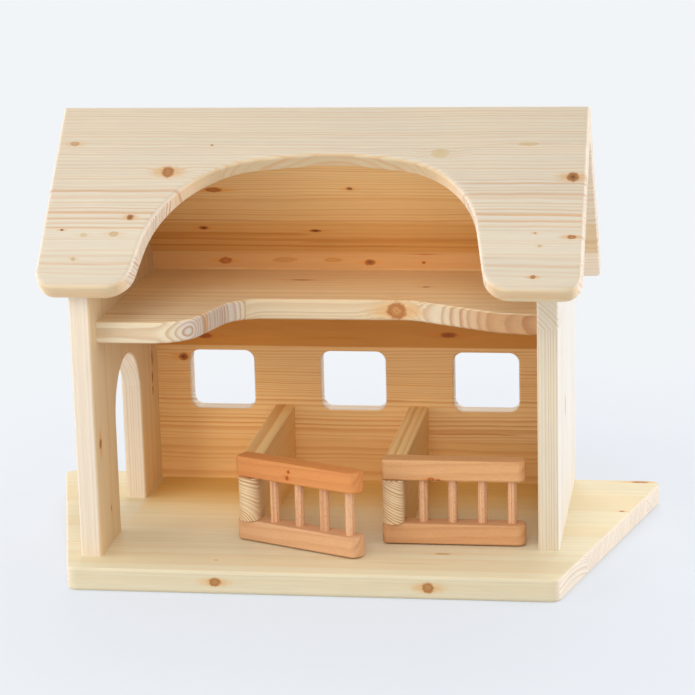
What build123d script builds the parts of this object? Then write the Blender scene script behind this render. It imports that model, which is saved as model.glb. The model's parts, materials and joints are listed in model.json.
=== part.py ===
from build123d import *
from math import atan2, cos, hypot, radians, sin, tan
import os

# A toy barn of glued spruce boards with two swinging stall gates. Millimetres; the open front faces -Y,
# +X is to the right, +Z is up, and the base lies on Z = 0 with the whole barn centred on the origin.

# Boards
board = 18.0                  # thickness of the walls, roof, loft floor and stall dividers
base_thickness = 20.0
base_easing = 3.0             # rounding along the edges of each board
roof_easing = 4.0             # outer edges of the roof
roof_inner_easing = 1.5       # edges of its underside
wall_easing = 2.5
opening_easing = 2.0
loft_easing = 2.5
divider_easing = 2.0

# Base: a trapezium, wider behind
base_front_margin = 4.5       # base beside the house at its front edge
base_back_margin = 80.0       # and at its back edge
base_corner_radius = 10.0
porch = 31.0                  # base in front of the left wall

# Walls
house_width = 402.0           # over the side walls
house_depth = 252.5           # front of the left wall to the back of the back wall
right_wall_setback = 44.5     # the right wall starts further back than the left one

# Doorway in the left wall
doorway_setback = 72.0
doorway_width = 95.0
doorway_height = 145.5
doorway_corner_radius = 46.0

# Windows in the back wall
window_count = 3
window_width = 59.5
window_height = 55.0
window_sill = 67.5            # above the base
window_pitch = 122.0
window_corner_radius = 9.0

# Loft floor and its wavy front edge
loft_gap = 15.0               # between the loft floor and the roof, at the back wall
loft_left_setback = 19.0      # behind the front of the left wall
loft_right_setback = 16.7     # behind the front of the right wall
loft_recess_setback = 111.5   # behind the front of the left wall
loft_left_tongue = 75.0       # width of the deep part at the left wall
loft_left_slope = 26.0        # sideways run of the steep curve beside it
loft_right_tongue = 37.0      # width of the low slope at the right wall
loft_right_slope = 75.0       # sideways run of the long slope beside it
loft_right_rise = 8.0         # depth of the low slope
loft_curve_radii = (38.0, 30.0, 40.0, 60.0)

# Roof
roof_pitch = 45.0             # degrees
ridge_height = 388.0
ridge_setback = 106.0         # behind the front of the left wall
side_overhang = 23.0          # past the side walls
front_overhang = 23.0         # past the front of the left wall
back_overhang = 20.0
front_corner_radius = 16.0    # at the ends of the eaves
back_corner_radius = 5.0

# Arch cut out of the front roof panel, measured down the slope from the ridge
arch_shoulder_drop = 63.6
arch_shoulder_band = 97.4     # roof left beside the arch at its shoulders
arch_crown_slope = 7.0        # degrees
arch_crown_shift = 14.3       # the crown lies right of the middle
arch_leg_lean = 9.65          # degrees
arch_crown_share = 0.241      # of the line from crown to shoulder, taken up by the crown's curve
arch_shoulder_share = 0.702   # of what that leaves, taken up by the shoulder's curve
arch_foot_radius = 24.0

# Stall dividers and gate hinges
right_stall_width = 114.5
middle_stall_width = 106.0
pin_setback = 58.8            # behind the front of the left wall
divider_height = 71.5
shoulder_clearance = 4.0      # between the turning gate end and the divider
nose_proud = 4.5              # divider nose in front of the rails
pin_diameter = 6.0
pin_clearance = 0.08          # radial, in the divider
pin_socket = 12.0             # depth in the top rail

# Gates
rail_section = 18.0
rail_easing = 2.0
gate_ground_gap = 1.0
gate_height = 74.0
hinge_gap = 0.3               # between a rail and the divider nose
hinge_overhang = 9.5          # rail beyond the pin
hinge_end_radius = 4.5
tip_radius = 7.0
tip_gap = 0.5                 # between one gate's tip and the next gate's turning end
slat_diameter = 8.0
slat_count = 4
slat_end_margin = 11.5        # from the last slat to the gate's tip
slat_socket = 9.0
left_gate_open = 24.0         # degrees, as the left gate stands

# Glued dowels hidden in the joints
dowel_diameter = 8.0
dowel_long_end = 24.0
dowel_short_end = 12.0
board_shares = (0.2, 0.5, 0.8)    # where dowels stand along a long joint
end_shares = (0.2, 0.8)           # along a short one
slope_shares = (0.4, 0.8)         # from the ridge to the end of a wall's sloping top
right_front_share = 0.6           # the one dowel over the front of the right wall
ridge_dowel_count = 4

# Places that follow from the sizes
pitch_rise = sin(radians(roof_pitch))
pitch_run = cos(radians(roof_pitch))
easing_loss = roof_easing * (pitch_rise + pitch_run - 1)
front_slope = (ridge_setback + front_overhang) / pitch_run
back_slope = (house_depth - ridge_setback + back_overhang) / pitch_run
overall_depth = porch + house_depth + back_overhang - easing_loss
base_front_y = -overall_depth / 2
left_wall_y = base_front_y + porch
right_wall_y = left_wall_y + right_wall_setback
back_outer_y = left_wall_y + house_depth
back_inner_y = back_outer_y - board
ridge_y = left_wall_y + ridge_setback
outer_x = house_width / 2
inner_x = outer_x - board
wall_mid_x = outer_x - board / 2
back_mid_y = back_outer_y - board / 2
roof_half_length = outer_x + side_overhang
under_ridge = ridge_height - board / pitch_run
shoulder_half_width = roof_half_length - arch_shoulder_band
crown_rise = shoulder_half_width * tan(radians(arch_crown_slope))
crown_reach = arch_crown_share * hypot(shoulder_half_width, crown_rise)
doorway_y = left_wall_y + doorway_setback
pin_y = left_wall_y + pin_setback
pin_pitch = middle_stall_width + board
right_pin_x = inner_x - right_stall_width - board / 2
left_pin_x = right_pin_x - pin_pitch
rail_bottom = base_thickness + gate_ground_gap
rail_top = rail_bottom + gate_height
nose_bottom = rail_bottom + rail_section + hinge_gap
nose_top = rail_top - rail_section - hinge_gap
nose_y = pin_y - nose_proud
hinge_corner_x = hinge_overhang - hinge_end_radius
hinge_corner_y = rail_section / 2 - hinge_end_radius
hinge_reach = hypot(hinge_corner_x, hinge_corner_y) + hinge_end_radius
shoulder_y = pin_y + hinge_reach + shoulder_clearance
gate_reach = pin_pitch - hinge_reach - tip_gap
slat_pitch = (gate_reach - slat_end_margin) / slat_count


def under_roof(y):
    """Height of the roof's underside."""
    return under_ridge - abs(y - ridge_y) * tan(radians(roof_pitch))


loft_bottom = under_roof(back_inner_y) - loft_gap - board


def on_slope(side, along, inward):
    """(y, z) at a distance down a slope and into its board; side is -1 in front and 1 behind."""
    y = ridge_y + side * (along * pitch_run - inward * pitch_rise)
    z = ridge_height - along * pitch_rise - inward * pitch_run
    return y, z


def prism(plane, points, thickness, radii=None):
    """A straight prism on a plane, from corners and the rounding of each."""
    radii = radii or [0] * len(points)
    outline = FilletPolyline(*points, radius=radii, close=True)
    return extrude(plane * make_face(outline), amount=thickness)


def profile_along_x(points, x_from, x_to):
    """A prism along X with the given (y, z) corners."""
    return prism(Plane.YZ.offset(x_from), points, x_to - x_from)


def window_centres():
    middle = (window_count - 1) / 2
    return [(column - middle) * window_pitch for column in range(window_count)]


def dowel(start, direction):
    """A glued dowel that starts at the end of its short half."""
    plane = Plane(origin=start, z_dir=direction)
    return extrude(plane * Circle(dowel_diameter / 2), amount=dowel_short_end + dowel_long_end)


# --- Hidden dowels ---------------------------------------------------------------------------------

def upright_dowels(places):
    """Dowels that stand in the base and run up into what it carries."""
    return [dowel((x, y, base_thickness - dowel_short_end), (0, 0, 1)) for x, y in places]


def left_wall_dowels():
    front_post_y = left_wall_y + doorway_setback / 2
    back_post_y = (doorway_y + doorway_width + back_outer_y) / 2
    return upright_dowels([(-wall_mid_x, front_post_y), (-wall_mid_x, back_post_y)])


def right_wall_dowels():
    span = back_outer_y - right_wall_y
    return upright_dowels([(wall_mid_x, right_wall_y + span * share) for share in board_shares])


def back_wall_dowels():
    return upright_dowels([(x, back_mid_y) for x in window_centres()])


def divider_dowels():
    span = back_inner_y - shoulder_y
    places = [(x, shoulder_y + span * share) for x in (left_pin_x, right_pin_x) for share in end_shares]
    return upright_dowels(places)


def corner_dowels():
    """Dowels from the side walls into the ends of the back wall."""
    heights = (base_thickness + window_sill / 2, loft_bottom - window_sill / 2)
    return [
        dowel((-side * (inner_x + dowel_short_end), back_mid_y, z), (side, 0, 0))
        for side in (1, -1)
        for z in heights
    ]


def loft_dowels():
    """Dowels from the side walls into the ends of the loft floor."""
    middle_z = loft_bottom + board / 2
    places = []
    for side, front in ((1, left_wall_y + loft_left_setback), (-1, right_wall_y + loft_right_setback)):
        span = back_inner_y - front
        for share in end_shares:
            start = (-side * (inner_x + dowel_short_end), front + span * share, middle_z)
            places.append(dowel(start, (side, 0, 0)))
    return places


def slope_dowels(side, x, alongs):
    """Dowels square to a roof slope, from the panel down into a wall's sloping top."""
    direction = (0, -side * pitch_rise, -pitch_run)
    starts = [on_slope(side, along, board - dowel_short_end) for along in alongs]
    return [dowel((x, y, z), direction) for y, z in starts]


def roof_front_dowels():
    left_run = (ridge_y - left_wall_y) / pitch_run
    right_run = (ridge_y - right_wall_y) / pitch_run
    left = slope_dowels(-1, -wall_mid_x, [left_run * share for share in slope_shares])
    right = slope_dowels(-1, wall_mid_x, [right_run * right_front_share])
    return left + right


def roof_back_dowels():
    run = (back_inner_y - ridge_y) / pitch_run
    return [
        peg
        for x in (-wall_mid_x, wall_mid_x)
        for peg in slope_dowels(1, x, [run * share for share in slope_shares])
    ]


def ridge_dowels():
    """Dowels from the front roof panel into the top edge of the back one."""
    joint = board / sin(radians(2 * roof_pitch))
    y, z = on_slope(1, joint - dowel_short_end, board / 2)
    spacing = 2 * roof_half_length / ridge_dowel_count
    first_x = spacing / 2 - roof_half_length
    places = [first_x + number * spacing for number in range(ridge_dowel_count)]
    return [dowel((x, y, z), (0, pitch_run, -pitch_rise)) for x in places]


# --- Fixed boards ----------------------------------------------------------------------------------

def base_board():
    half_front = outer_x + base_front_margin
    half_back = outer_x + base_back_margin
    corners = [
        (-half_front, base_front_y),
        (half_front, base_front_y),
        (half_back, back_outer_y),
        (-half_back, back_outer_y),
    ]
    slab = prism(Plane.XY, corners, base_thickness, [base_corner_radius] * 4)
    rims = slab.faces().sort_by(Axis.Z)
    slab = fillet(rims[0].edges() + rims[-1].edges(), base_easing)
    return slab - left_wall_dowels() - right_wall_dowels() - back_wall_dowels() - divider_dowels()


def side_wall(front_y, x_from, x_to):
    """A side wall whose top follows the underside of the roof."""
    corners = [
        (front_y, base_thickness),
        (back_outer_y, base_thickness),
        (back_outer_y, under_roof(back_outer_y)),
        (ridge_y, under_ridge),
        (front_y, under_roof(front_y)),
    ]
    wall = profile_along_x(corners, x_from, x_to)
    front_edges = wall.edges().filter_by(Axis.Z).group_by(Axis.Y)[0]
    return fillet(front_edges, wall_easing)


def side_wall_dowels():
    """The dowels in a side wall other than those from the base."""
    return corner_dowels() + loft_dowels() + roof_front_dowels() + roof_back_dowels()


def in_doorway(edge):
    """True for the edges of the doorway above the base."""
    middle = edge.center()
    beside = doorway_y - 1 < middle.Y < doorway_y + doorway_width + 1
    return beside and base_thickness + 1 < middle.Z < base_thickness + doorway_height + 1


def left_wall():
    """The side wall with the arched doorway."""
    wall = side_wall(left_wall_y, -outer_x, -inner_x)
    doorway_end = doorway_y + doorway_width
    doorway_top = base_thickness + doorway_height
    corners = [
        (doorway_y, base_thickness - board),
        (doorway_end, base_thickness - board),
        (doorway_end, doorway_top),
        (doorway_y, doorway_top),
    ]
    radii = [0, 0, doorway_corner_radius, doorway_corner_radius]
    wall -= prism(Plane.YZ.offset(-outer_x), corners, board, radii)
    rim = [edge for face in wall.faces().filter_by(Axis.X) for edge in face.edges() if in_doorway(edge)]
    return fillet(rim, opening_easing) - left_wall_dowels() - side_wall_dowels()


def right_wall():
    return side_wall(right_wall_y, inner_x, outer_x) - right_wall_dowels() - side_wall_dowels()


def back_wall():
    """The wall between the side walls, with a row of windows and a bevelled top."""
    corners = [
        (back_inner_y, base_thickness),
        (back_outer_y, base_thickness),
        (back_outer_y, under_roof(back_outer_y)),
        (back_inner_y, under_roof(back_inner_y)),
    ]
    wall = profile_along_x(corners, -inner_x, inner_x)
    window = RectangleRounded(window_width, window_height, window_corner_radius)
    window_z = base_thickness + window_sill + window_height / 2
    for x in window_centres():
        opening = Plane(origin=(x, back_inner_y, window_z), x_dir=(1, 0, 0), z_dir=(0, 1, 0)) * window
        wall -= extrude(opening, amount=board)
    rims = [wire.edges() for face in wall.faces().filter_by(Axis.Y) for wire in face.inner_wires()]
    wall = fillet([edge for rim in rims for edge in rim], opening_easing)
    return wall - back_wall_dowels() - corner_dowels()


def loft_floor():
    """The board over the stalls, its front edge cut to a wave."""
    left_y = left_wall_y + loft_left_setback
    right_y = right_wall_y + loft_right_setback
    recess_y = left_wall_y + loft_recess_setback
    left_bend = -inner_x + loft_left_tongue
    right_bend = inner_x - loft_right_tongue
    corners = [
        (-inner_x, back_inner_y),
        (-inner_x, left_y),
        (left_bend, left_y),
        (left_bend + loft_left_slope, recess_y),
        (right_bend - loft_right_slope, recess_y),
        (right_bend, right_y + loft_right_rise),
        (inner_x, right_y),
        (inner_x, back_inner_y),
    ]
    radii = [0, 0, *loft_curve_radii, 0, 0]
    floor = prism(Plane.XY.offset(loft_bottom), corners, board, radii)
    front_edges = [
        edge
        for face in floor.faces().filter_by(Axis.Z)
        for edge in face.edges()
        if edge.center().Y < back_inner_y - 1 and abs(edge.center().X) < inner_x - 1
    ]
    floor = fillet(front_edges, loft_easing)
    return floor - loft_dowels()


def crown_line(side):
    """Length of the line from the arch's crown to one shoulder, and its angle to the ridge."""
    run = shoulder_half_width - side * arch_crown_shift
    return hypot(run, crown_rise), atan2(crown_rise, run)


def shoulder_radius(side):
    """Radius of the curve from one side of the crown into its leg."""
    length, angle = crown_line(side)
    turn = radians(90 - arch_leg_lean) - angle
    return arch_shoulder_share * (length - crown_reach) / tan(turn / 2)


def arch_cutter():
    """The arch through the front roof panel, from the eave up to its crown."""
    lean = tan(radians(arch_leg_lean))
    crown_turn = crown_line(1)[1] + crown_line(-1)[1]
    foot_half_width = shoulder_half_width + (front_slope - arch_shoulder_drop) * lean
    corner_turn = radians(90 - arch_leg_lean) / 2
    foot_reach = foot_half_width + arch_foot_radius * (tan(corner_turn) + 1)
    past_eave = front_slope + board
    right_side = [
        (foot_reach, -past_eave),
        (foot_reach, -front_slope),
        (foot_half_width, -front_slope),
        (shoulder_half_width, -arch_shoulder_drop),
    ]
    left_side = [(-x, y) for x, y in reversed(right_side)]
    crown = (arch_crown_shift, crown_rise - arch_shoulder_drop)
    corners = [*right_side, crown, *left_side]
    right_radii = [0, 0, arch_foot_radius, shoulder_radius(1)]
    left_radii = [shoulder_radius(-1), arch_foot_radius, 0, 0]
    radii = [*right_radii, crown_reach / tan(crown_turn / 2), *left_radii]
    slope_plane = Plane(
        origin=(0, ridge_y, ridge_height), x_dir=(1, 0, 0), z_dir=(0, -pitch_rise, pitch_run)
    )
    return prism(slope_plane, corners, -board, radii)


def is_near(edge, y, z):
    """True when an edge's middle lies at (y, z), seen along X."""
    return hypot(edge.center().Y - y, edge.center().Z - z) < 0.5


def roof_panel(side, corners, along, corner_radius):
    """A roof board from its (y, z) profile, with rounded corners at the eave."""
    panel = profile_along_x(corners, -roof_half_length, roof_half_length)
    eave_y, eave_z = on_slope(side, along, board / 2)
    at_eave = [edge for edge in panel.edges() if is_near(edge, eave_y, eave_z)]
    ends = [edge for edge in at_eave if abs(edge.center().X) > roof_half_length - 1]
    return fillet(ends, corner_radius)


def eased_roof(panel, side, joint_points):
    """Rounds every edge of a roof panel except those along the ridge joint."""
    for depth, easing in ((0, roof_easing), (board, roof_inner_easing)):
        rim = [edge for edge in panel.edges() if abs(panel_depth(side, edge.center()) - depth) < 0.1]
        free = [edge for edge in rim if not any(is_near(edge, y, z) for y, z in joint_points)]
        panel = fillet(free, easing)
    return panel


def panel_depth(side, point):
    """How deep a point lies below a slope's outer face."""
    return (ridge_height - point.Z) * pitch_run - side * (point.Y - ridge_y) * pitch_rise


def roof_front():
    """The front panel, which laps over the top edge of the back one."""
    joint = board / sin(radians(2 * roof_pitch))
    inner_joint = on_slope(1, joint, 0)
    corners = [
        (ridge_y, ridge_height),
        inner_joint,
        on_slope(-1, front_slope, board),
        on_slope(-1, front_slope, 0),
    ]
    panel = roof_panel(-1, corners, front_slope, front_corner_radius)
    panel -= arch_cutter()
    panel = eased_roof(panel, -1, [inner_joint])
    return panel - roof_front_dowels() - ridge_dowels()


def roof_back():
    joint = board / sin(radians(2 * roof_pitch))
    outer_joint = on_slope(1, joint, 0)
    inner_joint = (ridge_y, under_ridge)
    corners = [
        outer_joint,
        on_slope(1, back_slope, 0),
        on_slope(1, back_slope, board),
        inner_joint,
    ]
    panel = roof_panel(1, corners, back_slope, back_corner_radius)
    panel = eased_roof(panel, 1, [outer_joint, inner_joint])
    return panel - roof_back_dowels() - ridge_dowels()


def divider(pin_x):
    """A stall divider, notched above and below a round nose that carries a gate."""
    profile = [
        (shoulder_y, base_thickness),
        (back_inner_y, base_thickness),
        (back_inner_y, base_thickness + divider_height),
        (shoulder_y, base_thickness + divider_height),
    ]
    panel = profile_along_x(profile, pin_x - board / 2, pin_x + board / 2)
    top = panel.faces().sort_by(Axis.Z)[-1]
    front_edges = panel.edges().filter_by(Axis.Z).group_by(Axis.Y)[0]
    top_edges = top.edges().filter_by(Axis.Y) + top.edges().group_by(Axis.Y)[0]
    panel = fillet(top_edges + front_edges, divider_easing)
    nose_length = shoulder_y - nose_y + divider_easing
    nose_plan = Circle(board / 2) + Pos(0, nose_length / 2) * Rectangle(board, nose_length)
    nose = extrude(Pos(pin_x, nose_y, nose_bottom) * nose_plan, amount=nose_top - nose_bottom)
    bore = Pos(pin_x, pin_y, nose_bottom) * Circle(pin_diameter / 2 + pin_clearance)
    return panel + nose - extrude(bore, amount=nose_top - nose_bottom) - divider_dowels()


# --- Gates -----------------------------------------------------------------------------------------
# Each gate is drawn closed, with its pin at the origin and its tip towards +X.

def slat_places():
    return [((number + 1) * slat_pitch, 0) for number in range(slat_count)]


def rail(bottom):
    """A gate rail without its holes."""
    half = rail_section / 2
    corners = [(-hinge_overhang, -half), (gate_reach, -half), (gate_reach, half), (-hinge_overhang, half)]
    radii = [hinge_end_radius, tip_radius, tip_radius, hinge_end_radius]
    blank = prism(Plane.XY.offset(bottom), corners, rail_section, radii)
    return fillet([edge for face in blank.faces().filter_by(Axis.Z) for edge in face.edges()], rail_easing)


def slats():
    """The upright rods, glued into both rails."""
    start = rail_bottom + rail_section - slat_socket
    length = gate_height - 2 * rail_section + 2 * slat_socket
    return [extrude(Pos(x, y, start) * Circle(slat_diameter / 2), amount=length) for x, y in slat_places()]


def hinge_pin():
    """The dowel a gate turns on, glued into both its rails."""
    length = gate_height - rail_section + pin_socket
    return extrude(Pos(0, 0, rail_bottom) * Circle(pin_diameter / 2), amount=length)


def gate_pieces():
    pieces = {
        "bottom_rail": rail(rail_bottom) - slats() - hinge_pin(),
        "top_rail": rail(rail_top - rail_section) - slats() - hinge_pin(),
        "hinge_pin": hinge_pin(),
    }
    for number, slat in enumerate(slats(), start=1):
        pieces[f"slat_{number}"] = slat
    return pieces


def barn_pieces():
    pieces = {
        "base_board": base_board(),
        "left_wall": left_wall(),
        "right_wall": right_wall(),
        "back_wall": back_wall(),
        "loft_floor": loft_floor(),
        "roof_front": roof_front(),
        "roof_back": roof_back(),
        "left_divider": divider(left_pin_x),
        "right_divider": divider(right_pin_x),
        "left_wall_dowels": Compound(left_wall_dowels()),
        "right_wall_dowels": Compound(right_wall_dowels()),
        "back_wall_dowels": Compound(back_wall_dowels()),
        "divider_dowels": Compound(divider_dowels()),
        "corner_dowels": Compound(corner_dowels()),
        "loft_dowels": Compound(loft_dowels()),
        "roof_front_dowels": Compound(roof_front_dowels()),
        "roof_back_dowels": Compound(roof_back_dowels()),
        "ridge_dowels": Compound(ridge_dowels()),
    }
    for gate, pin_x, angle in (("left_gate", left_pin_x, left_gate_open), ("right_gate", right_pin_x, 0)):
        for name, piece in gate_pieces().items():
            pieces[f"{gate}_{name}"] = Pos(pin_x, pin_y, 0) * Rot(0, 0, -angle) * piece
    return pieces


os.makedirs("parts", exist_ok=True)
for name, piece in barn_pieces().items():
    export_step(piece, f"parts/{name}.step")
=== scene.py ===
import bpy
import bmesh
import json
from math import pi, radians, sin
from mathutils import Matrix, Vector


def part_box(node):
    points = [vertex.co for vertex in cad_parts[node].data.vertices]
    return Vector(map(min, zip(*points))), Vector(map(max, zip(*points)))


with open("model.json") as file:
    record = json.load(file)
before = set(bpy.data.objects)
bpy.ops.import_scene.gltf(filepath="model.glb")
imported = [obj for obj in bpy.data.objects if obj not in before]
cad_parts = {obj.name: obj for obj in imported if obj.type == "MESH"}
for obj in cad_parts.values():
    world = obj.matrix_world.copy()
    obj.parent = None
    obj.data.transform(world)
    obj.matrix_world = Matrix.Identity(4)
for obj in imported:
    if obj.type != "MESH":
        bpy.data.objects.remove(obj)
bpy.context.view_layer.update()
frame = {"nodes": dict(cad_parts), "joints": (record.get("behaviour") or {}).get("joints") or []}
MM = 0.001
X, Y, Z = range(3)


def lowest(node):
    """A CAD node's lowest corner at rest, in millimetres."""
    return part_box(node)[0] / MM


def highest(node):
    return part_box(node)[1] / MM


def middle_height(node):
    return (lowest(node).z + highest(node).z) / 2


# Where the boards and the gates lie, in millimetres and degrees
BASE_TOP = highest("base_board").z
FRONT_OF_LEFT_WALL = lowest("left_wall").y
FRONT_OF_RIGHT_WALL = lowest("right_wall").y
FRONT_OF_BACK_WALL = lowest("back_wall").y
OUTSIDE_OF_WALLS = highest("right_wall").x
BOARD = OUTSIDE_OF_WALLS - lowest("right_wall").x
LOFT_TOP = highest("loft_floor").z
ROOF_PITCH = 45.0
RIDGE_Y = lowest("roof_back").y
RIDGE_HEIGHT = highest("roof_back").z + BOARD * sin(radians(ROOF_PITCH))   # the front panel laps over it
PINS = {joint["child"]: Vector(joint["pos_m"]) / MM for joint in frame["joints"]}
LEFT_PIN_X = PINS["left_gate"].x
RIGHT_PIN_X = PINS["right_gate"].x
PIN_Y = PINS["left_gate"].y
LEFT_GATE_OPEN = 24.0
BOTTOM_RAIL_MIDDLE = middle_height("left_gate_bottom_rail")
TOP_RAIL_MIDDLE = middle_height("left_gate_top_rail")


def from_srgb(color):
    """A display colour as the linear colour that shaders use."""
    return tuple(c / 12.92 if c <= 0.04045 else ((c + 0.055) / 1.055) ** 2.4 for c in color)


def from_bytes(red, green, blue):
    return from_srgb((red / 255, green / 255, blue / 255))


# --- Shader arithmetic -----------------------------------------------------------------------------

MIX_SHARE, MIX_FIRST, MIX_SECOND = 0, 6, 7      # a Mix node's inputs when it mixes colours
MIX_COLOR = 2                                   # and its output


class Number:
    """A number that a node tree works out at every point."""

    def __init__(self, sums, socket):
        self.sums = sums
        self.socket = socket

    def __add__(self, other):
        return self.sums.math("ADD", self, other)

    def __sub__(self, other):
        return self.sums.math("SUBTRACT", self, other)

    def __rsub__(self, other):
        return self.sums.math("SUBTRACT", other, self)

    def __mul__(self, other):
        return self.sums.math("MULTIPLY", self, other)

    def __truediv__(self, other):
        return self.sums.math("DIVIDE", self, other)

    __radd__ = __add__
    __rmul__ = __mul__


class Sums:
    """A node tree, with short calls for the nodes that a pattern needs."""

    def __init__(self, tree):
        self.tree = tree

    def node(self, kind, **settings):
        made = self.tree.nodes.new(kind)
        for name, value in settings.items():
            setattr(made, name, value)
        return made

    def feed(self, socket, value):
        """Links a number or a socket into another socket, or sets a plain value on it."""
        if isinstance(value, Number):
            self.tree.links.new(value.socket, socket)
        elif isinstance(value, bpy.types.NodeSocket):
            self.tree.links.new(value, socket)
        else:
            socket.default_value = value

    def math(self, operation, *values, clamp=False):
        made = self.node("ShaderNodeMath", operation=operation, use_clamp=clamp)
        for socket, value in zip(made.inputs, values):
            self.feed(socket, value)
        return Number(self, made.outputs[0])

    def root(self, value):
        return self.math("SQRT", value)

    def between(self, value, low, high, start=0.0, end=1.0):
        """A smooth rise from start to end as a value goes from low to high."""
        made = self.node("ShaderNodeMapRange", interpolation_type="SMOOTHSTEP")
        for socket, number in zip(made.inputs, (value, low, high, start, end)):
            self.feed(socket, number)
        return Number(self, made.outputs[0])

    def fade(self, value, low, high):
        """A smooth fall from 1 to 0 as a value goes from low to high."""
        return self.between(value, low, high, 1.0, 0.0)

    def unsigned(self, value):
        """A number without its sign."""
        return self.math("ABSOLUTE", value)

    def vector(self, x, y, z):
        made = self.node("ShaderNodeCombineXYZ")
        for socket, value in zip(made.inputs, (x, y, z)):
            self.feed(socket, value)
        return made.outputs[0]

    def noise(self, place, detail=2.0, roughness=0.5):
        """Noise around zero, from about -0.5 to 0.5."""
        made = self.node("ShaderNodeTexNoise")
        self.feed(made.inputs["Vector"], place)
        made.inputs["Scale"].default_value = 1.0
        made.inputs["Detail"].default_value = detail
        made.inputs["Roughness"].default_value = roughness
        return Number(self, made.outputs[0]) - 0.5

    def line_noise(self, place):
        """The same kind of noise along a line."""
        made = self.node("ShaderNodeTexNoise", noise_dimensions="1D")
        self.feed(made.inputs["W"], place)
        made.inputs["Scale"].default_value = 1.0
        made.inputs["Detail"].default_value = 1.0
        return Number(self, made.outputs[0]) - 0.5

    def chance(self, value):
        """A different random number for each whole number."""
        made = self.node("ShaderNodeTexWhiteNoise", noise_dimensions="1D")
        self.feed(made.inputs["W"], value)
        return Number(self, made.outputs["Value"])

    def blend(self, share, first, second, mode="MIX"):
        """Mixes two colours."""
        made = self.node("ShaderNodeMix", data_type="RGBA", blend_type=mode)
        made.clamp_factor = True
        for socket, value in ((MIX_SHARE, share), (MIX_FIRST, first), (MIX_SECOND, second)):
            if isinstance(value, tuple):
                value = (*value, 1.0)
            self.feed(made.inputs[socket], value)
        return made.outputs[MIX_COLOR]

    def tinted(self, color, tint):
        """A colour times another."""
        return self.blend(1.0, color, tint, "MULTIPLY")

    def mixed_shaders(self, share, first, second):
        """Goes from the first shader node to the second."""
        made = self.node("ShaderNodeMixShader")
        for socket, value in zip(made.inputs, (share, first.outputs[0], second.outputs[0])):
            self.feed(socket, value)
        return made.outputs[0]

    def table(self, value, rows):
        """Looks up a row of up to three numbers from 0 to 1, by steps."""
        made = self.node("ShaderNodeValToRGB")
        made.color_ramp.interpolation = "CONSTANT"
        stops = made.color_ramp.elements
        while len(stops) < len(rows):
            stops.new(0.5)
        for stop, (place, numbers) in zip(stops, rows):
            stop.position = place
            stop.color = (*numbers, 1.0)
        self.feed(made.inputs[0], value)
        return self.parts("ShaderNodeSeparateColor", made.outputs[0])

    def split(self, vector):
        return self.parts("ShaderNodeSeparateXYZ", vector)

    def parts(self, kind, whole):
        made = self.node(kind)
        self.feed(made.inputs[0], whole)
        return [Number(self, output) for output in made.outputs]


class Paint(Sums):
    """One material."""

    def __init__(self, name):
        self.material = bpy.data.materials.new(name)
        self.material.use_nodes = True
        super().__init__(self.material.node_tree)
        self.shader = self.tree.nodes["Principled BSDF"]

    def surface(self, roughness, shine):
        self.feed(self.shader.inputs["Roughness"], roughness)
        self.shader.inputs["Specular IOR Level"].default_value = shine


# --- Wood ------------------------------------------------------------------------------------------
# A board has its own millimetre axes: x along the grain, y across the face and z through it.

# Each wood's early wood, and the darker late wood that ends a year's ring
OUTSIDE = (from_bytes(235, 220, 199), from_bytes(212, 172, 122))
# Indoors: the same wood, warmer and more orange, as painted bounce light and shade inside the rooms
INDOORS_BOUNCE_LIT = (from_bytes(254, 213, 150), from_bytes(222, 144, 66))
ROOF = (from_bytes(214, 201, 179), from_bytes(206, 158, 110))
# The right wall's outer face is painted near white: painted light, standing in for the strong light and
# glare from the right
RIGHT_WALL_LIT_PALE = (from_bytes(242, 236, 226), from_bytes(212, 172, 122))
LOFT = (from_bytes(252, 231, 192), from_bytes(206, 148, 88))
BASE = (from_bytes(233, 221, 188), from_bytes(217, 180, 118))
NOSE = (from_bytes(232, 204, 162), from_bytes(188, 134, 82))
# A divider behind its nose is painted warmer and brighter: painted warm bounce light in the stalls
DIVIDER_BOUNCE_LIT = (from_bytes(248, 212, 150), from_bytes(224, 168, 100))
BEECH = (from_bytes(232, 182, 138), from_bytes(186, 124, 82))
# Cut end grain, paler than the wood: painted bounce light on cut faces that look away from the lamps
END_GRAIN_BOUNCE_LIT = (from_bytes(250, 236, 216), from_bytes(220, 178, 142))
ALDER_LATE = (0.82, 0.62, 0.46)     # times a rail's early wood

# Tints, each times the colour that it lies on
WARMER = (0.92, 0.74, 0.46)
RESIN = (0.88, 0.66, 0.40)
KNOT_BROWN = (0.58, 0.26, 0.10)
KNOT_GLOW = (0.95, 0.64, 0.34)
KNOT_OLIVE = (0.86, 0.74, 0.44)
KNOT_HEART = from_bytes(88, 46, 22)
# Painted warm bounce light on the left wall's inner face
INNER_FACE_BOUNCE_LIGHT = from_srgb((1.0, 0.96, 0.86))
# Painted warm bounce light on the roof's arch cut and eave, brighter than the wood
CUT_BOUNCE_LIGHT = (1.12, 1.0, 0.80)
# Tints the right wall's faces other than its outer face warmer, away from the painted light
RIGHT_WALL_SHADED_FACES = from_srgb((0.93, 0.90, 0.84))
# Painted warm shade on the base's top in the stalls, under the roof and behind the gates
STALL_SHADE = from_srgb((1.0, 0.88, 0.62))
# Painted shade, darker orange, on the back wall's inner face just below the loft
UNDER_LOFT_SHADE = from_srgb((0.93, 0.83, 0.65))
# Painted shade: the base's front face a little darker than its top
BASE_FRONT_SHADE = from_srgb((0.955, 0.95, 0.95))
# Painted shade on the loft's front edge and underside, darker than its top
LOFT_EDGE_SHADE = from_srgb((0.92, 0.92, 0.93))
LOFT_RIGHT_END = from_srgb((0.90, 0.76, 0.64))

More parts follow.
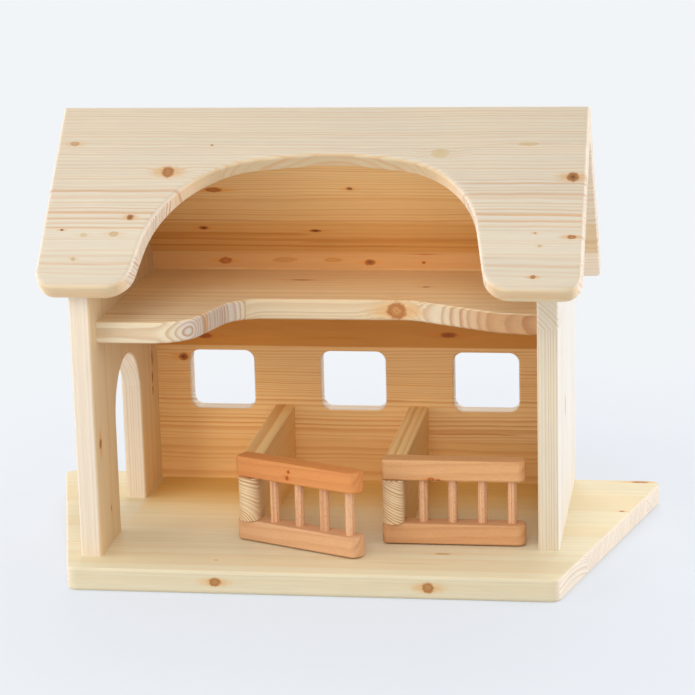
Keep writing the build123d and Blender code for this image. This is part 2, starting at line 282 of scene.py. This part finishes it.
# Trees and years
PITH_REACH = 400.0          # furthest that a tree's pith may lie from the board's own origin, either way
WIDEST_RINGS = 10.0
SEEDS_ACROSS = 71           # how differently the noise falls on strips from different trees
SEEDS_IN_DEPTH = 37
LATE_WOOD_STARTS = (0.3, 0.85)      # as shares of a year
LATE_WOOD_ENDS = (0.9, 1.0)
FAINTEST_YEAR = 0.3
UNEVEN_YEARS = (0.06, 3)    # waves to the millimetre, and years that they add

# Noise that is drawn out along the grain: waves to the millimetre, along it and across it
SLOW_BENDS = (0.005, 0.018)
QUICK_BENDS = (0.03, 0.12)
FIBRES = (0.03, 1.3)
CLOUDS = (0.007, 0.03)
VEINS = (0.006, 0.3)
PORES = (0.45, 2.4)
RAGGED_KNOTS = (0.3, 0.4)
WAVY_STREAKS = (0.02, 0.0)
QUICK_BEND = 1.2            # millimetres
STREAK_WAVE = 3.0

# Knots, with places in radii from the middle
KNOT_EDGE = (1.2, 0.85)
RIM_INSIDE = (0.8, 1.0)
RIM_OUTSIDE = (1.05, 1.3)
RIM_DARK = 0.6
HEART = (0.8, 0.15)
HALO = (2.2, 0.6)
HALO_SHAPE = (1.5, 0.2)     # how fast it fades across the grain and along it
RAGGED = 0.9
KNOT_YEARS = 7
KNOT_SWELLING = 0.5
KNOT_BEND = 0.35            # less bends the grain more sharply
EDGE_KNOT_END = 15          # millimetres over which a knot in an edge runs out
PAST_ITS_EDGE = 5           # radii that take a point out of a knot
FAINT_KNOT = 0.5            # how much less a faint knot shows than a dark one
FAINT_HALO = 0.7
KNOT_GLOWS = 0.75           # how much the halo colours the wood
KNOT_LINES = 0.25           # and how much a knot's own rings show

# What changes the colour, and by how much
FACING = (0.4, 0.8)         # how far a face looks along an axis to start and to fully count
TONE_LIGHT = 0.12
FIBRE_LIGHT = 0.24
CLOUD_LIGHT = 0.14
VEIN_LIGHT = 0.12
CLOUD_WARMTH = 0.25
VEIN_WARMTH = 0.2
COOL_LINES = 0.7
VEIN_CONTRAST = 0.5
END_CONTRAST = 0.35
STREAK_END = 25             # millimetres over which a streak fades out
STREAK_HEART = 0.2          # share of its half width at full strength
PORE_DEPTH = (0.06, 0.2)

# A sanded surface
ROUGHNESS = 0.62
LATE_SMOOTHER = 0.10
FIBRE_ROUGHER = 0.12
SHINE = 0.35
LATE_PROUD = 0.25
FIBRE_PROUD = 0.6
KNOT_PROUD = 0.5
BUMP = 0.35
BUMP_HEIGHT = 0.25 * MM


class Board(Paint):
    """Glued strips of wood, each cut from its own tree."""

    def __init__(self, name, centre, turn):
        super().__init__(name)
        coordinates = self.node("ShaderNodeTexCoord")
        self.x, self.y, self.z = self.split(self.mapped(coordinates.outputs["Object"], centre, turn, MM))
        self.facing = self.split(self.mapped(coordinates.outputs["Normal"], (0, 0, 0), turn, 1.0))
        self.ends = self.between(self.unsigned(self.facing[X]), *FACING)
        self.bend_y = self.bend_z = self.swell = 0.0
        self.in_knot = self.near_knot = self.knot_dark = self.knot_rings = self.pale_knot = 0.0
        self.streak = 0.0

    def mapped(self, source, centre, turn, size):
        """A place or a direction in the board's own axes."""
        made = self.node("ShaderNodeMapping", vector_type="TEXTURE")
        self.feed(made.inputs["Vector"], source)
        made.inputs["Location"].default_value = [value * MM for value in centre]
        made.inputs["Rotation"].default_value = [radians(angle) for angle in turn]
        made.inputs["Scale"].default_value = (size, size, size)
        return made.outputs[0]

    def faces(self, axis, way=1):
        """1 on the faces that look along one of the board's axes, or the other way."""
        start, full = FACING
        return self.between(self.facing[axis], start * way, full * way)

    def stretched(self, along, across, seed=0.0):
        """This point's place in noise that is drawn out along the grain."""
        return self.vector(self.x * along + seed, self.y * across, self.z * across)

    def strips(self, low, high, rows):
        """Reads the strip at this point. Each row is a strip: its start across the board, its pith
        across and in depth, the width of its rings, its tone from -1 to 1, the strength of its late
        wood and its warmth."""
        trees = []
        looks = []
        for start, pith_y, pith_z, ring_width, tone, strength, warmth in rows:
            place = max(0.0, (start - low) / (high - low))
            pith = [off / PITH_REACH / 2 + 0.5 for off in (pith_y, pith_z)]
            trees.append((place, (*pith, ring_width / WIDEST_RINGS)))
            looks.append((place, (tone / 2 + 0.5, strength, warmth)))
        across = (self.y - low) / (high - low)
        pith_y, pith_z, rings = self.table(across, trees)
        tone, self.strength, self.warmth = self.table(across, looks)
        self.pith_y = (pith_y - 0.5) * (2 * PITH_REACH)
        self.pith_z = (pith_z - 0.5) * (2 * PITH_REACH)
        self.ring_width = rings * WIDEST_RINGS
        self.tone = tone * 2 - 1
        self.seed = pith_y * SEEDS_ACROSS + pith_z * SEEDS_IN_DEPTH

    def knots(self, on_face=(), on_edge=(), reach=PITH_REACH):
        """Knots, and the way the grain flows round them. Each has its x, its place across, radius,
        darkness and length to width; those on the face run through the board, those on the edge
        run into it as far as the y of their reach. A darkness below 0 is a faint, pale knot."""
        ragged = self.noise(self.stretched(*RAGGED_KNOTS), 3.0, 0.65) * RAGGED
        faded = ragged + self.between(self.y, reach, reach + EDGE_KNOT_END) * PAST_ITS_EDGE
        for spots, across, rough in ((on_face, "y", ragged), (on_edge, "z", faded)):
            for spot in spots:
                bend = self.knot(getattr(self, across), rough, *spot)
                setattr(self, f"bend_{across}", bend + getattr(self, f"bend_{across}"))

    def knot(self, across, ragged, x, place, radius, dark, length):
        """Adds one knot and returns how far it pushes the grain aside."""
        faint = max(-dark, 0)
        off_across = (across - place) / radius
        off_along = (self.x - x) / (radius * length)
        square = off_across * off_across + off_along * off_along
        distance = self.root(square) + ragged
        core = self.between(distance, *KNOT_EDGE)
        rim = self.between(distance, *RIM_INSIDE) * self.fade(distance, *RIM_OUTSIDE)
        heart = self.between(distance, *HEART) + rim * RIM_DARK
        fade_across, fade_along = HALO_SHAPE
        smear = self.root(off_across * off_across * fade_across + off_along * off_along * fade_along)
        halo = self.between(smear + ragged, *HALO)
        swirl = self.math("SINE", distance * KNOT_YEARS) * core
        self.in_knot = self.math("MAXIMUM", core * (1 - faint * FAINT_KNOT), self.in_knot)
        self.pale_knot = self.math("MAXIMUM", core * faint, self.pale_knot)
        self.near_knot = self.math("MAXIMUM", halo * (1 - faint * FAINT_HALO), self.near_knot)
        self.knot_dark = self.math("MULTIPLY_ADD", heart, max(dark, 0), self.knot_dark)
        self.swell = self.math("MULTIPLY_ADD", halo, radius * KNOT_SWELLING, self.swell)
        self.knot_rings = swirl + self.knot_rings
        return off_across * radius * halo / (square + KNOT_BEND)

    def rings(self, wander, gable=None, end_width=1.0):
        """Growth rings round each strip's pith, which wanders by some millimetres; 1 in the dark late
        wood of a ring. A gable is a block whose grain runs across the board: where it starts, its
        pith and its ring width. On end grain the rings' width is multiplied by end_width."""
        slow = self.noise(self.stretched(*SLOW_BENDS, self.seed))
        quick = self.noise(self.stretched(*QUICK_BENDS, self.seed))
        off_y = self.y + slow * wander + quick * QUICK_BEND - self.bend_y - self.pith_y
        off_z = self.z - self.bend_z - self.pith_z
        distance = self.root(off_y * off_y + off_z * off_z) - self.swell
        width = self.ring_width * (1 - self.ends * (1 - end_width))
        waves, years = UNEVEN_YEARS
        year = distance / width + self.line_noise(distance * waves + self.seed) * years
        if gable:
            start, pith_x, pith_z, ring_width = gable
            off_x = self.x + slow * wander - pith_x
            off_z = self.z - pith_z
            across = self.root(off_x * off_x + off_z * off_z) / ring_width
            above = self.math("GREATER_THAN", self.x, start)
            year = across * above + year * (1 - above)
        part = self.math("FRACT", year)
        number = self.math("FLOOR", year)
        dense = self.chance(number + self.seed)
        rise = self.between(part, *LATE_WOOD_STARTS)
        fall = self.fade(part, *LATE_WOOD_ENDS)
        self.late = rise * fall * (dense * (1 - FAINTEST_YEAR) + FAINTEST_YEAR)

    def streaks(self, places):
        """Dark lines along the grain: each has its start, end, y, half width and strength."""
        wavy = self.noise(self.stretched(*WAVY_STREAKS)) * STREAK_WAVE
        for start, end, y, half_width, strength in places:
            begun = self.between(self.x, start, start + STREAK_END)
            not_ended = self.fade(self.x, end - STREAK_END, end)
            off = self.unsigned(self.y + wavy - y)
            line = self.fade(off, half_width * STREAK_HEART, half_width) * begun * not_ended * strength
            self.streak = self.math("MAXIMUM", line, self.streak)

    def flecks(self, strength):
        """Short dark pores along the grain."""
        pores = self.noise(self.stretched(*PORES), 1.0)
        self.streak = self.math("MAXIMUM", self.between(pores, *PORE_DEPTH) * strength, self.streak)

    # By default the end grain takes the pale colour with painted bounce light
    def color(self, wood, *tints, end_grain=END_GRAIN_BOUNCE_LIT):
        """Puts the colour together from the early and late colours of a wood and of its end grain.
        Each tint has a share and a colour."""
        early, late = wood
        end_early, end_late = end_grain
        fibre = self.noise(self.stretched(*FIBRES, self.seed), 3.0, 0.6)
        cloud = self.noise(self.stretched(*CLOUDS, self.seed))
        vein = self.noise(self.stretched(*VEINS, self.seed), 3.0, 0.6)
        along = 1 - self.ends
        contrast = self.strength + self.ends * END_CONTRAST + vein * VEIN_CONTRAST
        lines = self.math("MULTIPLY", self.late, contrast, clamp=True)
        soft = self.blend(self.ends, early, end_early)
        mixed = self.blend(lines, soft, self.blend(self.ends, late, end_late))
        mixed = self.blend(self.streak, mixed, self.tinted(late, RESIN))
        heat = self.warmth * self.warmth * along + cloud * CLOUD_WARMTH + vein * VEIN_WARMTH
        heat = self.math("ADD", heat, 0.0, clamp=True) * (1 - lines * COOL_LINES)
        mixed = self.blend(heat, mixed, self.tinted(soft, WARMER))
        if self.in_knot:
            mixed = self.knotted(mixed, early)
        bright = 1 + self.tone * along * TONE_LIGHT + fibre * FIBRE_LIGHT
        bright = bright + cloud * CLOUD_LIGHT + vein * VEIN_LIGHT
        mixed = self.shade(mixed, bright)
        for share, tint in tints:
            mixed = self.blend(share, mixed, self.tinted(mixed, tint))
        self.feed(self.shader.inputs["Base Color"], mixed)
        self.finish(fibre)

    def knotted(self, wood, early):
        """Lays the knots and the glow round them over the wood."""
        brown, glow, olive = [self.tinted(early, tint) for tint in (KNOT_BROWN, KNOT_GLOW, KNOT_OLIVE)]
        wood = self.blend(self.near_knot * self.near_knot * KNOT_GLOWS, wood, glow)
        body = self.blend(self.knot_rings * KNOT_LINES + KNOT_LINES, brown, glow)
        body = self.blend(self.pale_knot, body, olive)
        body = self.blend(self.knot_dark, body, KNOT_HEART)
        return self.blend(self.in_knot, wood, body)

    def shade(self, color, bright):
        made = self.node("ShaderNodeVectorMath", operation="SCALE")
        self.feed(made.inputs[0], color)
        self.feed(made.inputs["Scale"], bright)
        return made.outputs[0]

    def finish(self, fibre):
        """A sanded surface: matt, with the late wood a little proud and smoother."""
        self.surface(ROUGHNESS - self.late * LATE_SMOOTHER + fibre * FIBRE_ROUGHER, SHINE)
        height = self.late * LATE_PROUD + fibre * FIBRE_PROUD + self.in_knot * KNOT_PROUD
        bump = self.node("ShaderNodeBump")
        bump.inputs["Strength"].default_value = BUMP
        bump.inputs["Distance"].default_value = BUMP_HEIGHT
        self.feed(bump.inputs["Height"], height)
        self.feed(self.shader.inputs["Normal"], bump.outputs[0])


# How a board's own axes are turned, in degrees
FLAT = (0, 0, 0)
UPRIGHT = (0, -90, 0)
ON_END = (90, 0, 0)
FRONT_SLOPE = (180 + ROOF_PITCH, 0, 0)
BACK_SLOPE = (-ROOF_PITCH, 0, 0)
FRONT_TO_BACK = (0, 0, 90)


def dress(material, *nodes):
    """Gives CAD nodes a material."""
    for name in nodes:
        slots = frame["nodes"][name].data.materials
        slots.clear()
        slots.append(material)


# Between these x limits the indoor faces get the painted warm bounce light of the rooms
ROOMS_END = (194, 206)          # from the middle, where the walls end what counts as indoors


def bounce_lit_color(board, inside, *tints):
    """Painted warm bounce light: warm on the side that faces the rooms between the side walls, pale
    elsewhere.
    """
    inside = inside * board.fade(board.unsigned(board.x), *ROOMS_END)
    board.color([board.blend(inside, *tones) for tones in zip(OUTSIDE, INDOORS_BOUNCE_LIT)], *tints)


def roof_front_wood():
    board = Board("roof_front_spruce", (0, RIDGE_Y, RIDGE_HEIGHT), FRONT_SLOPE)
    board.strips(-20, 190, [
        (-20, 260, -90, 2.9, 0.05, 0.6, 0.3),
        (41, -170, 70, 3.1, 0.15, 0.55, 0.2),
        (89, -190, 110, 4.6, 0.4, 0.8, 0.05),
        (126, 340, -60, 3.0, 0.5, 0.35, 0.05),
        (150, -120, -90, 6.4, 0.3, 0.6, 0.25),
    ])
    board.knots([
        (-208.7, 39.7, 2.2, -0.35, 1.8), (-124.7, 68.5, 5.6, 0.3, 0.9), (-151, 114, 2.6, 0.8, 1.0),
        (-207, 127, 1.0, 0.8, 1.5), (-162.5, 130.8, 2.4, -0.6, 1.6), (-187.8, 132, 2.0, -0.85, 1.5),
        (-193.4, 155.6, 1.8, -0.6, 1.0), (175, 40, 1.6, -0.75, 5.0), (102.5, 49.5, 4.5, -0.9, 1.5),
        (212.8, 73, 4.6, 0.8, 1.0), (214.4, 131.6, 2.0, 0.1, 1.8), (189, 140.4, 1.2, -0.6, 1.3),
        (184.6, 128, 1.0, -0.3, 1.2), (185, 170, 1.8, 0.1, 1.1), (184.6, 191, 2.4, 0.2, 1.1),
        (-90.5, 41, 0.8, 0.9, 1.0),
    ])
    board.rings(7, end_width=0.55)
    board.streaks([(-260, -70, 88.0, 1.7, 0.45), (110, 260, 79.5, 1.4, 0.4), (110, 260, 90.0, 1.8, 0.45)])
    # The arch cut and eave get the painted warm bounce light
    cuts_with_bounce_light = board.faces(Y)
    board.color(ROOF, (cuts_with_bounce_light, CUT_BOUNCE_LIGHT))
    return board.material


def roof_back_wood():
    board = Board("roof_back_spruce", (0, RIDGE_Y, RIDGE_HEIGHT), BACK_SLOPE)
    board.strips(0, 240, [
        (0, 260, -60, 3.6, 0.2, 0.5, 0.3),
        (60, -190, -60, 3.4, 0.1, 0.6, 0.3),
        (106, 330, -70, 4.2, 0.1, 0.6, 0.45),
        (150, 60, -140, 5.0, 0.1, 0.9, 0.85),
        (196, 330, -60, 4.0, 0.8, 0.45, 0.3),
    ])
    board.knots([
        (-128, 159, 2.6, 1.0, 1.6), (-27, 163, 2.2, 1.0, 2.2), (12, 97, 2.2, 0.8, 1.2),
        (-109, 99, 3.6, 0.3, 2.0),
    ])
    board.rings(12)
    board.streaks([(-190, -25, 169, 4.4, 1.0), (-50, 230, 181, 2.4, 0.8), (-190, 60, 187, 1.6, 0.6)])
    # The underside over the loft gets the painted warm bounce light
    bounce_lit_color(board, board.faces(Z, -1))
    return board.material


def back_wall_wood():
    board = Board("back_wall_spruce", (0, FRONT_OF_BACK_WALL, 0), ON_END)
    board.strips(20, 240, [
        (20, -60, 90, 5.0, 0.0, 0.6, 0.6),
        (58, -130, 60, 4.2, 0.1, 0.75, 0.25),
        (100, 320, 60, 2.4, 0.0, 0.75, 0.4),
        (147, 165, 50, 4.6, -0.6, 1.0, 0.9),
        (192, 228, 34, 5.0, 1.0, 0.6, 0.1),
    ])
    board.knots([
        (-158, 136, 3.4, 0.9, 1.2), (-137, 156, 2.4, 0.35, 2.5), (88, 159, 2.4, 0.5, 3.0),
        (-115, 227, 3.0, 0.1, 2.0), (67, 226, 1.4, 0.3, 1.2), (18, 226, 2.6, 0.7, 1.8),
        (-60, 228, 2.2, -0.5, 5.0), (-16, 228, 2.0, -0.5, 4.0),
    ])
    board.rings(9)
    board.streaks([(-60, 20, 155, 1.3, 0.95), (-30, 60, 97, 1.0, 0.5), (60, 160, 66, 1.2, 0.6),
                   (40, 90, 234, 1.0, 0.9)])
    # Painted shade under the loft on the inner face, over the strip that is also darker wood of its own
    strip_start, strip_end = (146, 148), (189, 193)
    loft_shade_strip = board.between(board.y, *strip_start) * board.fade(board.y, *strip_end)
    inside = board.faces(Z)
    bounce_lit_color(board, inside, (loft_shade_strip * inside, UNDER_LOFT_SHADE))
    return board.material


def side_wall_board(name, outside_x, front_y, strips, knots, gable=None):
    board = Board(name, (outside_x, front_y, 0), UPRIGHT)
    board.strips(0, 260, strips)
    board.knots(knots)
    board.rings(5, gable)
    return board


def left_wall_wood():
    strips = [
        (0, 20, -170, 4.6, 0.0, 0.5, 0.35), (46, 190, -30, 4.5, 0.05, 0.35, 0.2),
        (94, 60, 90, 4.0, 0.0, 0.4, 0.3), (142, 130, -100, 4.0, 0.1, 0.4, 0.3),
        (166, 160, -230, 2.6, 0.1, 0.6, 0.4), (212, 120, -60, 4.0, -0.1, 0.5, 0.3),
    ]
    knots = [(140, 214, 2.4, 0.1, 2.6), (122, 212, 2.2, 0.8, 2.4), (110, 212, 2.0, 0.9, 2.0),
             (115, 15, 4.0, 0.3, 1.0), (50, 41, 1.4, 0.2, 1.6)]
    board = side_wall_board("left_wall_spruce", -OUTSIDE_OF_WALLS, FRONT_OF_LEFT_WALL, strips, knots)
    inside = board.faces(Z, -1)
    # The inner face gets the painted warm bounce light
    board.color(OUTSIDE, (inside, INNER_FACE_BOUNCE_LIGHT))
    return board.material


def right_wall_wood():
    strips = [
        (0, 10, -230, 2.5, 0.3, 0.5, 0.3), (42, 190, 40, 4.5, 0.4, 0.35, 0.0),
        (86, 60, 90, 4.0, 0.4, 0.35, 0.0), (132, 130, -100, 4.0, 0.4, 0.35, 0.0),
        (178, 330, -20, 3.2, 0.4, 0.4, 0.0),
    ]
    knots = [(125, 80, 2.6, 0.5, 3.4), (182, 40, 1.0, 0.6, 1.4)]
    gable = (211, 170, 60, 3.4)
    board = side_wall_board("right_wall_spruce", OUTSIDE_OF_WALLS, FRONT_OF_RIGHT_WALL, strips, knots, gable)
    outside = board.faces(Z, -1)
    # The outer face keeps the pale painted light; the front edge and inner face are tinted warmer
    board.color(RIGHT_WALL_LIT_PALE, (1 - outside, RIGHT_WALL_SHADED_FACES))
    return board.material


def loft_wood():
    board = Board("loft_spruce", (0, FRONT_OF_LEFT_WALL, LOFT_TOP), FLAT)
    board.strips(15, 240, [
        (15, 34, -10, 4.4, 0.0, 0.75, 0.1),
        (108, 150, -60, 3.6, 0.1, 0.6, 0.45),
        (152, 300, 90, 3.4, 0.0, 0.5, 0.5),
        (196, 60, 120, 4.0, 0.0, 0.4, 0.4),
    ])
    board.knots([(-37, 190, 2.0, 0.5, 5.0), (77, 165, 1.8, 0.9, 1.8), (-88, 58, 2.4, 0.7, 2.4)],
                [(58, -9, 7.5, 0.05, 1.1)], reach=128)
    board.rings(8)
    # Every face but the top gets the painted shade
    not_top = 1 - board.faces(Z)
    right_end = (85, 150)
    at_right = board.between(board.x, *right_end) * not_top
    board.color(LOFT, (not_top, LOFT_EDGE_SHADE), (at_right, LOFT_RIGHT_END))
    return board.material


def base_wood():
    board = Board("base_spruce", (0, 0, BASE_TOP), FLAT)
    board.strips(-155, 140, [
        (-155, -120, -150, 5.0, 0.1, 0.34, 0.3),
        (-80.5, -260, 120, 4.6, 0.05, 0.35, 0.1),
        (-36.6, 160, -120, 4.4, 0.15, 0.45, 0.5),
        (-8.4, -190, -100, 4.6, 0.1, 0.35, 0.3),
        (35, 240, -100, 4.0, 0.1, 0.4, 0.6),
        (83.5, -20, -160, 5.6, 0.1, 0.3, 0.4),
    ])
    board.knots(
        [(260.5, 126, 3.0, 0.1, 2.6), (248, 37, 1.6, 0.8, 1.6), (104, -91.7, 2.2, -0.4, 3.0),
         (-84, -121.5, 1.0, 0.4, 1.2), (-60, 40, 1.6, 0.6, 1.4)],
        [(-79.4, -9.4, 3.6, 0.25, 1.3), (98.4, -9.6, 4.4, 0.2, 1.1)], reach=-135,
    )
    board.rings(8, end_width=0.6)
    board.streaks([(-290, -160, -80.5, 0.7, 0.9), (30, 120, -118, 1.2, 0.5)])
    # The base's top between the walls, from the gates back, gets the painted warm shade
    walls, front_to_back = (178, 186), (-40, 110)
    between_walls = board.fade(board.unsigned(board.x), *walls)
    stall_shade_area = board.between(board.y, *front_to_back) * between_walls * board.faces(Z)
    # The front face gets the painted shade
    front = board.faces(Y, -1)
    board.color(BASE, (stall_shade_area, STALL_SHADE), (front, BASE_FRONT_SHADE))
    return board.material


def divider_wood(name, pin_x, pith, ring_width):
    board = Board(name, (pin_x, PIN_Y, 0), FRONT_TO_BACK)
    board.strips(-20, 20, [(-20, *pith, ring_width, 0.0, 0.9, 0.2)])
    board.rings(2)
    nose_end = (6, 24)
    behind_nose = board.between(board.x, *nose_end)
    # Behind the nose the divider takes the colour with the painted warm bounce light of the stalls
    wood = [board.blend(behind_nose, *tones) for tones in zip(NOSE, DIVIDER_BOUNCE_LIT)]
    board.color(wood, end_grain=NOSE)
    return board.material


def rail_wood(name, centre, turn, early, knots):
    board = Board(name, centre, (0, 0, turn))
    wood = (early, tuple(a * b for a, b in zip(early, ALDER_LATE)))
    board.strips(-12, 12, [(-12, 60, -50, 6.0, 0.0, 0.4, 0.0)])
    board.knots(on_edge=knots)
    board.rings(12)
    board.flecks(0.25)
    board.color(wood, end_grain=wood)
    return board.material


def rod_wood():
    """For the slats, the pins and the dowels."""
    board = Board("slat_beech", (0, PIN_Y, 0), UPRIGHT)
    board.strips(-200, 200, [(-200, 30, -26, 2.4, 0.0, 0.7, 0.2)])
    board.rings(6)
    board.flecks(0.6)
    board.color(BEECH, end_grain=BEECH)
    return board.material


# Each rail's pin, height, early wood, and the knots in its edges
RAILS = {
    "left_gate_top_rail": (LEFT_PIN_X, TOP_RAIL_MIDDLE, from_bytes(218, 144, 80),
                           [(46, 2.0, 1.6, 0.6, 0.7), (44.5, -3.5, 2.0, 0.3, 0.8)]),
    "left_gate_bottom_rail": (LEFT_PIN_X, BOTTOM_RAIL_MIDDLE, from_bytes(218, 169, 124), []),
    "right_gate_top_rail": (RIGHT_PIN_X, TOP_RAIL_MIDDLE, from_bytes(222, 168, 114),
                            [(33, -7.5, 1.8, 0.0, 1.6), (39, -8.5, 1.5, 0.2, 1.3)]),
    "right_gate_bottom_rail": (RIGHT_PIN_X, BOTTOM_RAIL_MIDDLE, from_bytes(216, 162, 112), []),
}


def dress_barn():
    dress(roof_front_wood(), "roof_front")
    dress(roof_back_wood(), "roof_back")
    dress(back_wall_wood(), "back_wall")
    dress(left_wall_wood(), "left_wall")
    dress(right_wall_wood(), "right_wall")
    dress(loft_wood(), "loft_floor")
    dress(base_wood(), "base_board")
    dress(divider_wood("left_divider_spruce", LEFT_PIN_X, (10, 34), 2.8), "left_divider")
    dress(divider_wood("right_divider_spruce", RIGHT_PIN_X, (140, -210), 2.2), "right_divider")
    for name, (pin_x, height, early, knots) in RAILS.items():
        turn = -LEFT_GATE_OPEN if pin_x == LEFT_PIN_X else 0
        dress(rail_wood(f"{name}_alder", (pin_x, PIN_Y, height), turn, early, knots), name)
    rods = [name for name in frame["nodes"] if "slat" in name or "pin" in name or "dowels" in name]
    dress(rod_wood(), *rods)


# --- Room ------------------------------------------------------------------------------------------
# In metres, watts and degrees

BACKDROP = from_bytes(242, 245, 248)
FLOOR_COLOR = from_bytes(216, 221, 230)
FLOOR_ROUGHNESS = 0.9
FLOOR_SHINE = 0.1
FLOOR_HALF = 4.0
FLOOR_DROP = 0.2 * MM

# The floor's shadows fade into the backdrop's even colour, further off to the sides than in front
SHADOWS_X = 0.12
SHADOWS_ASIDE = 0.7
SHADOWS_FADE = (0.2, 0.85)
BACKDROP_SHARE = (0.55, 1.0)

SKY_COLOR = (0.93, 0.96, 1.0)
SKY_LIGHT = 0.56

# Each softbox's place, the height over the middle that it looks at, its size and its power
SOFTBOXES = {
    "low_front_softbox": ((0.7, -2.5, 0.8), 0.15, 1.2, 5),
    "high_front_softbox": ((0.0, -1.9, 1.9), 0.2, 1.2, 16),
    "low_left_softbox": ((-1.7, -1.8, 0.5), 0.15, 1.2, 14.5),
    "left_softbox": ((-2.2, -0.4, 1.0), 0.15, 1.2, 17),
    "right_softbox": ((2.3, 0.2, 0.9), 0.15, 1.2, 21),
    "back_softbox": ((0.0, 1.8, 1.6), 0.15, 1.6, 21),
}

CAMERA_PLACE = (0.34235, -2.09423, 0.69623)
CAMERA_YAW = 8.93
CAMERA_PITCH = -13.815
CAMERA_ROLL = -1.49
FOCAL_LENGTH = 130.66
SENSOR_WIDTH = 36.0


def seen_directly(sums, *kinds):
    """1 for rays of the named kinds, which show the backdrop itself."""
    rays = sums.node("ShaderNodeLightPath")
    shown = 0.0
    for kind in kinds:
        shown = sums.math("MAXIMUM", shown, rays.outputs[f"Is {kind} Ray"])
    return shown


def floor():
    mesh = bpy.data.meshes.new("floor")
    shape = bmesh.new()
    bmesh.ops.create_grid(shape, x_segments=1, y_segments=1, size=FLOOR_HALF)
    bmesh.ops.translate(shape, verts=shape.verts, vec=(0, 0, -FLOOR_DROP))
    shape.to_mesh(mesh)
    shape.free()
    slab = bpy.data.objects.new("floor", mesh)
    bpy.context.scene.collection.objects.link(slab)
    mesh.materials.append(floor_paper())


def floor_paper():
    paint = Paint("floor_paper")
    paint.shader.inputs["Base Color"].default_value = (*FLOOR_COLOR, 1.0)
    paint.surface(FLOOR_ROUGHNESS, FLOOR_SHINE)
    x, y = paint.split(paint.node("ShaderNodeTexCoord").outputs["Object"])[:2]
    aside = x - SHADOWS_X
    away = paint.root(aside * aside * SHADOWS_ASIDE + y * y)
    far = paint.between(away, *SHADOWS_FADE, *BACKDROP_SHARE)
    glow = paint.node("ShaderNodeEmission")
    glow.inputs["Color"].default_value = (*BACKDROP, 1.0)
    shown = far * seen_directly(paint, "Camera", "Glossy", "Transmission")
    mix = paint.mixed_shaders(shown, paint.shader, glow)
    paint.feed(paint.tree.nodes["Material Output"].inputs[0], mix)
    return paint.material


def sky():
    """Even light all round, with the backdrop's colour where it is seen."""
    world = bpy.data.worlds.new("studio")
    world.use_nodes = True
    bpy.context.scene.world = world
    sums = Sums(world.node_tree)
    sums.tree.nodes.clear()
    soft = sums.node("ShaderNodeBackground")
    soft.inputs["Color"].default_value = (*SKY_COLOR, 1.0)
    soft.inputs["Strength"].default_value = SKY_LIGHT
    backdrop = sums.node("ShaderNodeBackground")
    backdrop.inputs["Color"].default_value = (*BACKDROP, 1.0)
    mix = sums.mixed_shaders(seen_directly(sums, "Camera", "Transmission"), soft, backdrop)
    sums.feed(sums.node("ShaderNodeOutputWorld").inputs[0], mix)


def softbox(name, place, target_height, size, power):
    light = bpy.data.lights.new(name, "AREA")
    light.shape = "SQUARE"
    light.size = size
    light.energy = power
    lamp = bpy.data.objects.new(name, light)
    lamp.location = place
    look = Vector((0, 0, target_height)) - Vector(place)
    lamp.rotation_euler = look.to_track_quat("-Z", "Y").to_euler()
    bpy.context.scene.collection.objects.link(lamp)


def studio():
    floor()
    sky()
    for name, settings in SOFTBOXES.items():
        softbox(name, *settings)


def camera():
    """Looks at the open front from a little to the right and above."""
    data = bpy.data.cameras.new("camera")
    data.sensor_width = SENSOR_WIDTH
    data.lens = FOCAL_LENGTH
    seen = bpy.data.objects.new("camera", data)
    yaw = Matrix.Rotation(radians(CAMERA_YAW), 4, "Z")
    pitch = Matrix.Rotation(pi / 2 + radians(CAMERA_PITCH), 4, "X")
    roll = Matrix.Rotation(radians(CAMERA_ROLL), 4, "Z")
    seen.matrix_world = Matrix.Translation(CAMERA_PLACE) @ yaw @ pitch @ roll
    bpy.context.scene.collection.objects.link(seen)
    bpy.context.scene.camera = seen


dress_barn()
studio()
camera()
bpy.context.scene.view_settings.view_transform = "Standard"
